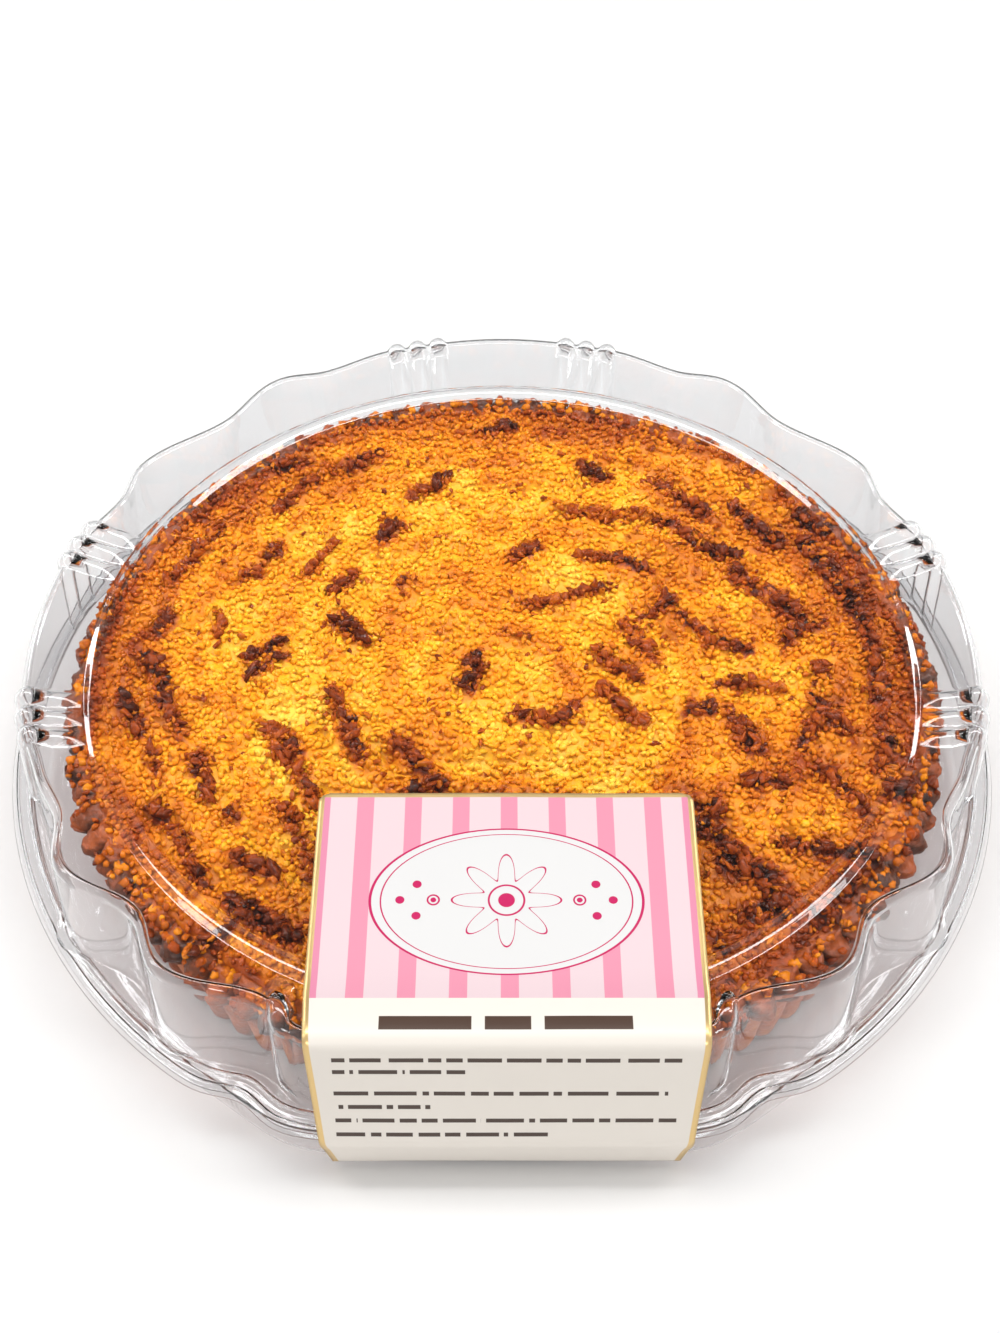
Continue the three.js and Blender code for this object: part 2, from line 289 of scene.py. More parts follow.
def shaded_tone(tree, scale, layers, amount, stops):
    """(colour, grain): a ramp through stops, each a place and a hex colour, read at the mesh's tone
    plus amount * (noise - 0.5), and that noise, of a scale a metre and some layers, for the relief."""
    spot = node(tree, "ShaderNodeTexCoord").outputs["Object"]
    tint = node(tree, "ShaderNodeAttribute", attribute_name="tone").outputs["Fac"]
    grain = node(tree, "ShaderNodeTexNoise", {
        "Vector": spot, "Scale": scale, "Detail": layers, "Roughness": 0.6}).outputs["Fac"]
    shift = node(tree, "ShaderNodeMath", {0: grain, 1: amount, 2: -amount / 2}, operation="MULTIPLY_ADD")
    total = node(tree, "ShaderNodeMath", {0: tint, 1: shift.outputs[0]}, operation="ADD")
    ramp = node(tree, "ShaderNodeValToRGB", {"Fac": total.outputs[0]})
    for place, colour in stops:
        ramp.color_ramp.elements.new(place).color = linear(colour)
    for end in (0, -1):
        ramp.color_ramp.elements.remove(ramp.color_ramp.elements[end])
    return ramp.outputs["Color"], grain


# Baked shortcrust: matt brown crumb that turns dark and sticky with caramel on its knobs.
tree, baked_pastry = material("baked_shortcrust")
colour, grain = shaded_tone(tree, 620.0, 3.0, 0.5, (
    (0.12, "#c4732a"), (0.36, "#a64e14"), (0.6, "#80380c"), (0.8, "#52260c"), (0.97, "#351609")))
dent = node(tree, "ShaderNodeBump", {"Strength": 0.7, "Distance": 0.0006, "Height": grain})
body = node(tree, "ShaderNodeBsdfPrincipled", {
    "Base Color": colour, "Roughness": 0.4, "Normal": dent.outputs["Normal"], "Specular IOR Level": 0.4})
node(tree, "ShaderNodeOutputMaterial", {"Surface": body.outputs[0]})
crust = piece("fluted_crust", points, faces, baked_pastry, values)
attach(crust, "root")
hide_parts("crust")


# ==== filling ====================================================================================
# The coconut filling: grated coconut, egg, butter and sugar, spread by spoon in rings and baked
# until the tops of the ridges scorch. It is golden in the middle and browner towards the rim.

def cells(x, y, seed):
    """Distance from each point to the nearest of one random seed point in every unit square, and a
    random number from 0 to 1 that belongs to that seed."""
    i, j = np.floor(x).astype(np.int64), np.floor(y).astype(np.int64)
    best, owner = np.full(x.shape, 9.0), np.zeros(x.shape)
    for di in (-1, 0, 1):
        for dj in (-1, 0, 1):
            a, b = (i + di).astype(float), (j + dj).astype(float)
            px = a + 0.5 + 0.42 * noise(a * 1.7 + 0.3, b * 1.3 + 0.1, seed)
            py = b + 0.5 + 0.42 * noise(a * 1.1 + 0.7, b * 1.9 + 0.5, seed + 1)
            away = np.hypot(x - px, y - py)
            mine = away < best
            best = np.where(mine, away, best)
            owner = np.where(mine, noise(a * 0.9 + 0.5, b * 0.7 + 0.5, seed + 2) * 0.5 + 0.5, owner)
    return best, owner


# Scorched strokes on the tops of the ridges, as they lie in the photo:
# from x, y to x, y, width, and how dark they are baked.
SCORCH = np.array([
    (-20, 74, -17, 79, 4.5, 1.00), (-28, 70, -24, 72, 3.5, 0.70), (-35, 50, -32, 57, 4.5, 1.00),
    (-68, 44, -65, 48, 4.0, 0.95), (-48, 30, -42, 36, 3.5, 0.80), (-46, 18, -40, 11, 5.5, 1.00),
    (-70, 5, -62, 10, 2.6, 1.00), (-69, -1, -60, 4, 2.6, 1.00), (-96, 17, -94, 22, 4.0, 0.90),
    (-10, -8, -8, 3, 5.5, 1.00), (-94, 0, -91, -10, 3.4, 0.90), (-91, -10, -86, -22, 3.2, 0.85),
    (-102, -10, -98, -20, 3.0, 0.85), (-46, -9, -42, -20, 4.0, 0.75), (-42, -20, -38, -31, 4.4, 0.85),
    (-62, -21, -56, -23, 3.5, 0.70), (-46, 84, -37, 90, 3.0, 0.85), (-57, 78, -67, 64, 3.0, 0.75),
    (-70, 84, -60, 87, 3.0, 0.80), (-84, 55, -95, 36, 3.0, 0.65), (-30, 30, -26, 33, 3.0, 0.60),
    (-50, 48, -57, 37, 2.6, 0.62), (-75, 38, -70, 37, 3.2, 0.70), (-100, 8, -96, 3, 3.6, 0.80),
    (-80, 22, -79, 14, 2.6, 0.60), (-5, 101, 2, 102, 4.5, 0.95), (24, 83, 30, 78, 4.6, 0.95),
    (46, 76, 60, 62, 4.0, 0.75), (69, 65, 80, 51, 3.6, 0.90), (88, 64, 95, 57, 4.4, 0.95),
    (4, 44, 9, 46, 4.2, 0.85), (22, 42, 30, 43, 2.8, 0.75), (30, 43, 40, 38, 2.8, 0.85),
    (46, 58, 58, 48, 2.8, 0.75), (58, 48, 68, 44, 3.2, 0.95), (8, 24, 27, 29, 3.3, 0.80),
    (40, 18, 47, 26, 3.0, 0.80), (50, 20, 57, 10, 3.0, 0.75), (57, 10, 66, 7, 3.3, 0.90),
    (34, 16, 41, 4, 4.2, 0.65), (26, 6, 35, -3, 3.3, 0.75), (66, 38, 76, 28, 5.0, 0.75),
    (76, 28, 86, 18, 5.0, 0.85), (78, 12, 83, 17, 4.2, 0.90), (97, 34, 102, 18, 5.0, 0.90),
    (102, 18, 103, 5, 4.6, 0.80), (103, 5, 101, -6, 4.2, 0.80), (85, -3, 87, 3, 3.2, 0.80),
    (58, -5, 63, -4, 3.2, 0.92), (66, -4, 75, -6, 3.4, 0.62), (50, -14, 56, -13, 3.2, 0.92),
    (27, -8, 36, -18, 3.8, 0.70), (3, -15, 12, -19, 3.2, 0.75), (15, -19, 18, -14, 3.2, 0.92),
    (61, -15, 66, -26, 6.0, 0.70), (84, -8, 87, -15, 4.6, 0.95), (86, -14, 92, -21, 4.2, 0.80),
    (85, -14, 79, -25, 4.2, 0.75), (87, 52, 93, 38, 4.2, 0.75), (19, 62, 38, 61, 3.0, 0.60),
    (-62, -22, -49, -43, 4.6, 0.65), (-58, -24, -54, -30, 3.5, 0.85), (-93, -27, -91, -32, 3.2, 0.70),
    (-80, -29, -76, -41, 3.6, 0.80), (-91, -44, -88, -46, 3.2, 0.80), (-71, -46, -69, -50, 3.4, 0.85),
    (-85, -52, -79, -62, 3.2, 0.75), (-77, -64, -75, -70, 3.4, 0.90), (-67, -61, -58, -66, 3.4, 0.85),
    (-56, -46, -48, -66, 4.6, 0.70), (-66, -75, -52, -84, 7.0, 0.95), (-75, -88, -66, -81, 4.4, 1.00),
    (-28, -25, -18, -41, 4.6, 0.75), (-24, -42, -17, -40, 3.5, 1.00), (48, -51, 53, -54, 4.4, 1.00),
    (56, -60, 66, -68, 8.0, 0.85), (72, -57, 94, -60, 5.0, 0.95), (60, -78, 69, -73, 5.2, 0.90),
    (84, -70, 89, -64, 4.4, 0.95), (76, -76, 82, -78, 4.2, 0.80), (52, -86, 57, -84, 5.0, 0.70),
    (84, -33, 92, -43, 6.0, 0.70), (100, -39, 108, -36, 4.2, 0.95), (98, -32, 103, -24, 4.2, 0.70),
    (64, -37, 73, -38, 3.4, 0.85), (86, -82, 90, -78, 4.2, 0.90), (49, -44, 55, -47, 4.2, 0.65),
    (-20, -62, -8, -66, 4.0, 0.80), (6, -74, 20, -70, 4.4, 0.75), (-12, -92, 4, -95, 4.0, 0.85),
    (26, -96, 36, -92, 4.4, 0.80)])


def scorch(x, y):
    """(how dark, how near) the strokes' cores and their brown surroundings, each 0 to 1. The outline
    is ragged: the place is first pushed about by noise."""
    wx = x + 1.5 * rough(x / 3.1, y / 3.1, 301, 3)
    wy = y + 1.5 * rough(x / 3.1, y / 3.1, 317, 3)
    core, halo = np.zeros(x.shape), np.zeros(x.shape)
    for ax, ay, bx, by, width, dark in SCORCH:
        dx, dy = bx - ax, by - ay
        t = (((wx - ax) * dx + (wy - ay) * dy) / (dx * dx + dy * dy)).clip(0, 1)
        away = np.hypot(wx - ax - t * dx, wy - ay - t * dy)
        core = np.maximum(core, dark * (1.35 - away / (width * 0.5)).clip(0, 1))
        halo = np.maximum(halo, dark * (1 - away / (width * 1.1)).clip(0, 1))
    return core, halo


def ridges(x, y):
    """Height from 0 to 1 of the spoon's ridges: a wave over the distance from the middle plus a slow
    drift with the bearing, pushed about by noise and broken into arcs."""
    r = np.hypot(x, y) + 9 * rough(x / 46, y / 46, 401, 2) + 6 * np.arctan2(x, -y) / np.pi
    wave = (0.5 + 0.5 * np.cos(2 * np.pi * r / 12.5)) ** 2
    broken = (0.5 + 1.1 * rough(x / 15, y / 15, 433, 3)).clip(0, 1)
    return wave * broken


FILLING_R = 113.0


def surface(x, y):
    """(height, browning with painted shade) of the filling at x, y from the tart's middle. The height is
    a dome with the ridges, the scorched lumps, clumps of 5 mm and packed crumbs of 2 mm on it; the
    browning follows the rim, the ridges and the strokes, the tone is a little darker towards the right,
    and painted shade darkens the hollows."""
    r = np.hypot(x, y) / FILLING_R
    core, halo = scorch(x, y)
    ridge = ridges(x, y)
    clump = cells(x / 5.2, y / 5.2, 501)[0]
    crumb, crumb_id = cells(x / 1.9 + 0.3 * noise(x / 4, y / 4, 7), y / 1.9, 521)
    hollow = (-rough(x / 6, y / 6, 541, 3) - 0.25).clip(0, 1)
    z = 34.4 - 4.6 * r ** 2 + 1.9 * ridge + 0.9 * core + 0.4 * halo
    z += 1.0 * rough(x / 11, y / 11, 557, 3) + 0.8 * (0.75 - clump) - 1.4 * hollow
    scorched = (0.20 * halo + 0.40 * core) * (0.55 + 0.9 * crumb_id)
    brown = 0.20 + 0.21 * r ** 2.6 + 0.14 * ((r - 0.93) / 0.07).clip(0, 1) + 0.05 * (x / 105).clip(0, 1)
    brown += 0.13 * rough(x / 26, y / 26, 571, 3) + 0.07 * rough(x / 5, y / 5, 577, 3)
    # the last term is painted shade: darker in the surface's hollows
    brown += 0.15 * ridge + scorched + 0.08 * (crumb_id - 0.5) + 0.08 * hollow
    return z, brown.clip(0, 1)


# a square grid of n by n points pressed into a disc, so that its cells are about as large everywhere
n = 313
line = np.linspace(-1, 1, n)
a, b = np.meshgrid(line, line, indexing="ij")
wide = np.abs(a) > np.abs(b)
big = np.where(wide, a, b)
small = np.where(wide, b, a) / np.where(big == 0, 1, big)
angle = np.pi / 4 * small
u = np.where(wide, big * np.cos(angle), big * np.sin(angle))
v = np.where(wide, big * np.sin(angle), big * np.cos(angle))
# the outline laps over the pastry's rim, most at the front
bearing_here = np.degrees(np.arctan2(u, -v))
lap = 113.2 + 1.2 * noise(bearing_here / 9, 0 * u, 601) + 1.4 * np.exp(-(bearing_here / 75) ** 2)
x, y = u * lap, v * lap
z, brown = surface(x, y)
edge = (np.hypot(u, v) * FILLING_R - 109.5).clip(0, 3.5) / 3.5
z = z - 1.6 * edge ** 2
top = np.stack([x + TART_X, y + TART_Y, z], -1).reshape(-1, 3)
number = np.arange(n * n).reshape(n, n)
rim = np.concatenate([number[0, :-1], number[:-1, -1], number[-1, :0:-1], number[:0:-1, 0]])
floor_z = 5.8  # just above the crust's floor
low = top[rim] * (0.975, 0.975, 0) + (0, 0, floor_z)
points = np.concatenate([top, low, [(TART_X, TART_Y, floor_z)]])
lower = n * n + np.arange(len(rim))
skirt = np.stack([rim, np.roll(rim, -1), np.roll(lower, -1), lower], -1)
patch = np.stack([number[:-1, :-1], number[1:, :-1], number[1:, 1:], number[:-1, 1:]], -1).reshape(-1, 4)
faces = [patch, skirt, fan(lower, n * n + len(rim))]
tone = np.concatenate([brown.ravel(), brown.ravel()[rim], [0.3]]) - 0.03


def coconut_look(name, gloss, relief, soak):
    """Baked coconut: moist golden crumb that runs through orange and red-brown to nearly black as the
    tone rises. Light soaks into the pale crumb, and fine granules stand in relief."""
    tree, made = material(name)
    colour, grain = shaded_tone(tree, 900.0, 2.0, 0.14, (
        (0.02, "#f2c545"), (0.17, "#eaa81a"), (0.31, "#de8a10"), (0.45, "#c36a0c"), (0.61, "#98400a"),
        (0.78, "#62240a"), (0.96, "#341409")))
    dent = node(tree, "ShaderNodeBump", {"Strength": relief, "Distance": 0.0005, "Height": grain})
    body = node(tree, "ShaderNodeBsdfPrincipled", {
        "Base Color": colour, "Roughness": gloss, "Normal": dent.outputs["Normal"],
        "Specular IOR Level": 0.25, "Subsurface Weight": soak,
        "Subsurface Radius": (1.0, 0.55, 0.2), "Subsurface Scale": 0.0012})
    node(tree, "ShaderNodeOutputMaterial", {"Surface": body.outputs[0]})
    return made


coconut = coconut_look("baked_coconut", 0.36, 0.5, 0.0)
filling = piece("coconut_filling", points, faces, coconut, {"tone": tone})
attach(filling, "root")
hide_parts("filling")


# ==== loose crumbs ===============================================================================
# Granules of grated coconut that stand free on the filling, 1 to 2 mm across, in the colour that
# the filling has under them.

def blob(columns, rows):
    """A unit ball as a grid of rows and columns with a point at each pole: (points, faces)."""
    tall = np.linspace(0, np.pi, rows + 2)[1:-1][:, None]
    turn = (np.arange(columns) + 0.5 * np.arange(rows)[:, None]) * 2 * np.pi / columns
    grid = np.stack([
        np.sin(tall) * np.cos(turn), np.sin(tall) * np.sin(turn), np.cos(tall) + 0 * turn], -1)
    points = np.concatenate([grid.reshape(-1, 3), [(0, 0, 1), (0, 0, -1)]])
    body = quads(rows, columns, 0, True)
    ring = np.arange(columns)
    split = np.concatenate([body[:, [0, 1, 2]], body[:, [0, 2, 3]]]) if rows > 1 else body[:, :3]
    caps = [fan(ring, rows * columns), fan(ring + (rows - 1) * columns, rows * columns + 1, True)]
    return points, np.concatenate([split, *caps])


def spin(count, lean, random, heading=None):
    """count turning matrices: a free turn about z, or the given headings, after a random lean."""
    about = random.uniform(0, 2 * np.pi, count) if heading is None else heading
    tip, side = random.normal(0, lean, count), random.normal(0, lean, count)
    one, none = np.ones(count), np.zeros(count)
    cos, sin = np.cos(about), np.sin(about)
    turn_z = np.array([[cos, -sin, none], [sin, cos, none], [none, none, one]])
    cos, sin = np.cos(tip), np.sin(tip)
    turn_y = np.array([[cos, none, sin], [none, one, none], [-sin, none, cos]])
    cos, sin = np.cos(side), np.sin(side)
    turn_x = np.array([[one, none, none], [none, cos, -sin], [none, sin, cos]])
    return np.einsum("ijn,jkn,kln->nil", turn_z, turn_y, turn_x)


def spread(random, count, *limits):
    """Random sizes along x, y and z: one column of count numbers for each (low, high)."""
    return np.stack([random.uniform(low, high, count) for low, high in limits], -1)


def scatter(shape, faces, scale, turn, centre):
    """Copies of one small shape joined in one mesh. shape is (copies, points, 3) or (points, 3)."""
    shape = np.broadcast_to(shape, (len(centre), *np.shape(shape)[-2:]))
    points = np.einsum("nij,npj->npi", turn, shape * scale[:, None, :]) + centre[:, None, :]
    count = points.shape[1]
    made = faces[None] + (np.arange(len(centre)) * count)[:, None, None]
    return points.reshape(-1, 3), made.reshape(-1, faces.shape[1])


def sown(step, radius, random):
    """Places in a disc: a square grid of one step in mm, each place moved at random in its cell."""
    n = int(radius / step) + 1
    i, j = np.meshgrid(np.arange(-n, n + 1), np.arange(-n, n + 1), indexing="ij")
    x = (i.ravel() + random.uniform(-0.5, 0.5, i.size)) * step
    y = (j.ravel() + random.uniform(-0.5, 0.5, i.size)) * step
    keep = np.hypot(x, y) < radius
    return x[keep], y[keep]


random = np.random.default_rng(11)
x, y = sown(2.2, 113.5, random)
z, brown = surface(x, y)
count = len(x)
ball, ball_faces = blob(5, 2)
shape = ball * random.uniform(0.75, 1.2, (count, len(ball), 1))
size = random.uniform(0.75, 1.2, count)[:, None] * spread(
    random, count, (0.9, 1.4), (0.75, 1.05), (0.6, 0.95))
centre = np.stack([x + TART_X, y + TART_Y, z + random.uniform(0.1, 0.7, count)], -1)
points, faces = scatter(shape, ball_faces, size, spin(count, 0.6, random), centre)
tone = np.repeat((brown + random.normal(-0.02, 0.035, count)).clip(0, 1), len(ball))
crumb_look = coconut_look("loose_coconut_crumb", 0.24, 0.1, 0.25)
crumbs = piece("loose_crumbs", points, [faces], crumb_look, {"tone": tone})
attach(crumbs, "root")


# ==== coconut curls ==============================================================================
# Shreds of grated coconut that have curled in baking: bent tapering slivers about 2.5 mm long and
# 1 mm wide that lie every way among the crumbs, moist and glassy.

random = np.random.default_rng(17)
x, y = sown(2.65, 112, random)
z, brown = surface(x, y)
count = len(x)
length = random.uniform(1.8, 3.4, count)
bend = random.uniform(0.5, 2.0, count)
sides, stations = 5, np.array([0.2, 0.5, 0.8])  # shares of the length that carry a ring of points
turn_at = (stations[None] - 0.5) * bend[:, None]
bow = (length / bend)[:, None]  # radius of the bend
middle = np.stack([bow * np.sin(turn_at), 0 * turn_at, bow * (np.cos(turn_at) - 1)], -1)
about = np.arange(sides) * 2 * np.pi / sides
wide = random.uniform(0.6, 0.9, count)[:, None, None] * np.array([0.8, 1.0, 0.75])[None, :, None]
flat = 0.6 * wide
across, lifted = wide * np.cos(about), flat * np.sin(about)
ring_points = np.stack([
    middle[..., None, 0] + lifted * np.sin(turn_at)[..., None], across,
    middle[..., None, 2] + lifted * np.cos(turn_at)[..., None]], -1)
ends = np.stack([
    bow * np.sin(bend[:, None] / 2) * (-1, 1), np.zeros((count, 2)),
    bow * (np.cos(bend[:, None] / 2) - 1) * (1, 1)], -1)
shape = np.concatenate([ring_points.reshape(count, -1, 3), ends], 1)
ring, tip = np.arange(sides), sides * len(stations)
body = quads(len(stations), sides)
curl_faces = np.concatenate([
    body[:, [0, 1, 2]], body[:, [0, 2, 3]], fan(ring, tip, True), fan(ring + tip - sides, tip + 1)])
centre = np.stack([x + TART_X, y + TART_Y, z + random.uniform(0.35, 0.95, count)], -1)
points, faces = scatter(shape, curl_faces, np.ones((count, 3)), spin(count, 0.5, random), centre)
tone = np.repeat((brown + random.normal(-0.03, 0.035, count)).clip(0, 1), shape.shape[1])
curls = piece("coconut_curls", points, [faces], crumb_look, {"tone": tone})
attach(curls, "root")


# ==== scorched lumps =============================================================================
# Clumps of coconut on the ridges' tops that have baked dark brown to nearly black: small knobbly
# lumps that stick together along each stroke, and single browned bits between them.

random = np.random.default_rng(23)
where, sizes, headings, darks = [], [], [], []
for ax, ay, bx, by, width, dark in SCORCH:
    # a crowd of lumps along the stroke, with gaps where a noise is low
    length = np.hypot(bx - ax, by - ay)
    count = int(round((length + 3) * (width + 2) / 3.0))
    t = random.uniform(-0.12, 1.12, count)
    side = random.normal(0, width * 0.30, count)
    dx, dy = (bx - ax) / length, (by - ay) / length
    px, py = ax + t * (bx - ax) - side * dy, ay + t * (by - ay) + side * dx
    off = (np.abs(side) / (0.5 * width)).clip(0, 1.6)
    keep = noise(px / 2.3, py / 2.3, 91) > -0.3
    where.append(np.stack([px, py], -1)[keep])
    sizes.append((random.uniform(0.55, 1.55, count) * (1.15 - 0.3 * off))[keep])
    headings.append((np.arctan2(dy, dx) + random.normal(0, 0.9, count))[keep])
    darks.append((0.47 + 0.40 * dark ** 2 * (1 - 0.4 * off) + random.normal(0, 0.06, count))[keep])
    # half as many smaller, paler bits round it
    near = int(count * 0.5)
    t, side = random.uniform(-0.25, 1.25, near), random.normal(0, width * 0.65, near)
    where.append(np.stack([ax + t * (bx - ax) - side * dy, ay + t * (by - ay) + side * dx], -1))
    sizes.append(random.uniform(0.45, 1.0, near))
    headings.append(np.arctan2(dy, dx) + random.normal(0, 0.9, near))
    darks.append(random.uniform(0.38, 0.60, near))
# single browned bits all over, most of them on the ridges and towards the rim
count = 1500
r, b = 112 * np.sqrt(random.uniform(0, 1, count)), random.uniform(0, 2 * np.pi, count)
px, py = r * np.sin(b), r * np.cos(b)
keep = random.uniform(0, 1, count) < 0.10 + 0.40 * (r / 112) ** 2 + 0.5 * ridges(px, py)
where.append(np.stack([px, py], -1)[keep])
sizes.append(random.uniform(0.4, 0.95, keep.sum()))
headings.append(random.uniform(0, 6.28, keep.sum()))
darks.append(random.uniform(0.45, 0.72, keep.sum()))
where, sizes, headings, darks = map(np.concatenate, (where, sizes, headings, darks))
on_tart = np.hypot(where[:, 0], where[:, 1]) < 118.0  # the rest would hang beyond the rim
where, sizes, headings, darks = where[on_tart], sizes[on_tart], headings[on_tart], darks[on_tart]
count = len(where)
z, brown = surface(where[:, 0], where[:, 1])
ball, ball_faces = blob(7, 4)
knobs = 1 + 0.32 * random.normal(0, 1, (count, len(ball), 1)).clip(-1.4, 1.8)
shape = ball * knobs
size = sizes[:, None] * spread(random, count, (0.9, 1.9), (0.6, 1.0), (0.5, 0.9))
rise = 0.35 + 0.5 * sizes + random.uniform(-0.2, 0.5, count) * (darks > 0.6)
centre = np.stack([where[:, 0] + TART_X, where[:, 1] + TART_Y, z + rise], -1)
points, faces = scatter(shape, ball_faces, size, spin(count, 0.45, random, headings), centre)
tone = (np.repeat(darks, len(ball)) + random.normal(0, 0.05, count * len(ball))).clip(0.38, 1)
scorched_look = coconut_look("scorched_coconut", 0.22, 0.35, 0.0)
scorched_lumps = piece("scorched_lumps", points, [faces], scorched_look, {"tone": tone})
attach(scorched_lumps, "root")


# ==== rim lumps ==================================================================================
# Filling and sugar that boiled over the pastry's rim and set on its knobs as sticky brown lumps,
# from the rim's inner side over its top and a little way down outside.

random = np.random.default_rng(31)
count = 1500
b = random.uniform(0, 360, count)
over_rim = np.radians(random.uniform(-50, 118, count))  # from the inner side over the top to the outer
crest = np.abs(np.cos(np.radians(b * flute_count / 2))) ** 0.5
knob = 0.45 + 0.55 * crest
r = 115.6 + (3.6 + 0.8 * noise(b / 3.1, 0 * b, 9)) * knob * np.sin(over_rim)
z = 26.6 + (4.0 + 0.7 * noise(b / 2.3, 0 * b, 5)) * np.cos(over_rim) * (0.8 + 0.2 * crest)
keep = random.uniform(0, 1, count) < np.where(over_rim > 0.9, 0.35, 0.9)
b, r, z, over_rim, count = b[keep], r[keep], z[keep], over_rim[keep], keep.sum()
centre = np.stack([r * np.sin(np.radians(b)) + TART_X, -r * np.cos(np.radians(b)) + TART_Y, z], -1)
shape = ball * (1 + 0.25 * random.normal(0, 1, (count, len(ball), 1)).clip(-1.4, 1.8))
size = random.uniform(0.6, 1.5, count)[:, None] * spread(
    random, count, (0.8, 1.2), (0.8, 1.1), (0.7, 1.0))
points, faces = scatter(shape, ball_faces, size, spin(count, 0.8, random), centre)
tone = (0.48 + 0.18 * np.sin(over_rim) + random.normal(0, 0.10, count)).clip(0.36, 0.95)
rim_lumps = piece("rim_lumps", points, [faces], scorched_look, {"tone": np.repeat(tone, len(ball))})
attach(rim_lumps, "root")


# ==== lid ========================================================================================
# The clear lid, drawn from the same sheet as the tray: a flat panel in a raised ring, a shoulder
# with a scalloped edge, groups of raised ribs, an upright wall and a flange that curls round the
# tray's rim. Its front panel is straight for the label.

# the scalloped edge on one side of the lid: bearings of its crests and hollows, and their reach
SCALLOPS = np.array([
    (0, 134), (16, 134), (27.6, 122), (39, 128.6), (46.9, 122.3), (57.3, 129.6), (64.7, 124.2),
    (71, 125.6), (80, 127.3), (108.5, 127.8), (117.2, 125.6), (125, 130), (137.4, 125.6), (148.5, 132.3),
    (155.2, 128.8), (165, 131.4), (180, 132.3)])


def lid_reach(bearing):
    """Outline of the lid's shoulder: half a cosine wave from each crest of the scallops to the next
    hollow, cut by the straight front at 117.6 mm."""
    side = fold(bearing)
    n = np.searchsorted(SCALLOPS[:, 0], side, side="left").clip(1, len(SCALLOPS) - 1)
    (start, low), (end, high) = SCALLOPS[n - 1].T, SCALLOPS[n].T
    share = (1 - np.cos(np.pi * (side - start) / (end - start))) / 2
    return soft_min(low + (high - low) * share, front_reach(bearing, 117.6))


# groups of ribs on one side of the lid: bearing of the group's middle, heading of its ribs, how many
RIB_GROUPS = ((24.2, 0, 1), (80, 90, 3), (108.7, 104, 3), (168.3, 172.5, 3))
RIBS = [(b, h, k - (n - 1) / 2) for b, h, n in RIB_GROUPS for k in range(n)]
RIB_HEIGHT, RIB_HALF, RIB_PITCH = 1.7, 2.7, 6.5


def rib_lift(x, y, z):
    """Height of the raised ribs over a place on the lid: full on a rib's middle line, falling in a
    round arch to nothing at its sides and its round ends."""
    reach = np.hypot(x, y)
    best = np.full(np.shape(x), 9.0)
    for side in (1, -1):
        for bearing, heading, k in RIBS:
            b, h = np.radians(bearing) * side, np.radians(heading) * side
            r = lid_reach(np.array([bearing]))[0]
            off = (x - r * np.sin(b)) * np.cos(h) + (y + r * np.cos(b)) * np.sin(h)
            off = off - side * k * RIB_PITCH
            ahead = (x * np.sin(h) - y * np.cos(h)) > 0
            end = np.maximum((114.2 - reach).clip(0), (22.0 - z).clip(0))
            best = np.where(ahead, np.minimum(best, np.hypot(off, end)), best)
    return RIB_HEIGHT * (1 - (best / RIB_HALF) ** 2).clip(0, 1) ** 0.85


# stations round the lid, every 0.26 degrees within a degree of the ribs and every 0.9 elsewhere
fine_step = 0.05
coarse = np.arange(0, 360, fine_step)
sin, cos = np.sin(np.radians(coarse)), np.cos(np.radians(coarse))
near = np.any([rib_lift(r * sin, -r * cos, 40 + 0 * coarse) > 0 for r in (113, 120, 128)], 0)
near = np.convolve(np.concatenate([near[-20:], near, near[:20]]), np.ones(41), "same")[20:-20] > 0
pace = np.cumsum(np.where(near, 1 / 0.26, 1 / 0.9) * fine_step)
bearing = np.interp(np.arange(int(pace[-1])) * pace[-1] / int(pace[-1]), pace, coarse)

FLANGE_Z = 16.4
edge, lip = lid_reach(bearing), flange_reach(bearing)
one = np.ones(len(bearing))
ring_foot = 111.1 * one  # outer foot of the raised ring
clear = ((lip - edge - 5.5) / 3).clip(0, 1)  # room for the bead between the wall's foot and the rim
bead = np.maximum(lip - 5.4, edge + 2.2)
knee = edge - 3.3  # where the shoulder meets its thin raised rim
# each corner of the profile: [reach, z, how far the corner is cut back]
lid_line = [
    (5 * one, 44.0, 0), (40 * one, 44.0, 0), (80 * one, 44.0, 0),
    (105.2 * one, 44.0, 0.4), (107.3 * one, 45.3, 0.9), (109.0 * one, 45.3, 0.9), (ring_foot, 44.2, 0.4),
    (0.65 * ring_foot + 0.35 * knee, 44.6, 0), (0.3 * ring_foot + 0.7 * knee, 45.4, 0),
    (knee, 46.5, 0.2), (edge - 2.8, 47.1, 0.3), (edge - 1.9, 47.1, 0.9), (edge - 0.35, 45.5, 1.2),
    (edge - 0.2, 41, 0), (edge, 37, 0), (edge + 0.2, 33, 0), (edge + 0.3, 29, 0), (edge + 0.5, 25, 0),
    (edge + 0.6, 23, 0), (edge + 0.7, 21, 0), (edge + 0.8, 19, 0),
    (edge + 1.2, FLANGE_Z, 1.0), (edge + 1.2 + 0.3 * (bead - edge - 2.1), FLANGE_Z, 0),
    (bead - 1.0, FLANGE_Z, 0.3), (bead - 0.4, FLANGE_Z + 1.1 * clear, 0.5),
    (bead + 0.5, FLANGE_Z + 1.1 * clear, 0.5), (bead + 1.1, FLANGE_Z, 0.3),
    (np.maximum(lip - 2.9, bead + 1.2), FLANGE_Z, 0.2), (lip - 2.4, 17.1, 0.3), (lip - 1.7, 17.0, 0.4),
    (lip - 1.1, 16.0, 0.4), (lip - 0.1, 14.55, 0), (lip, 14.4, 0)]
corners = np.stack([np.stack([r, z + 0 * r], -1) for r, z, _ in lid_line])
cuts = [c for _, _, c in lid_line]
grid = turned(rounded(corners, cuts, 5), bearing)
lift = rib_lift(grid[..., 0], grid[..., 1], grid[..., 2])
reach = np.hypot(grid[..., 0], grid[..., 1])
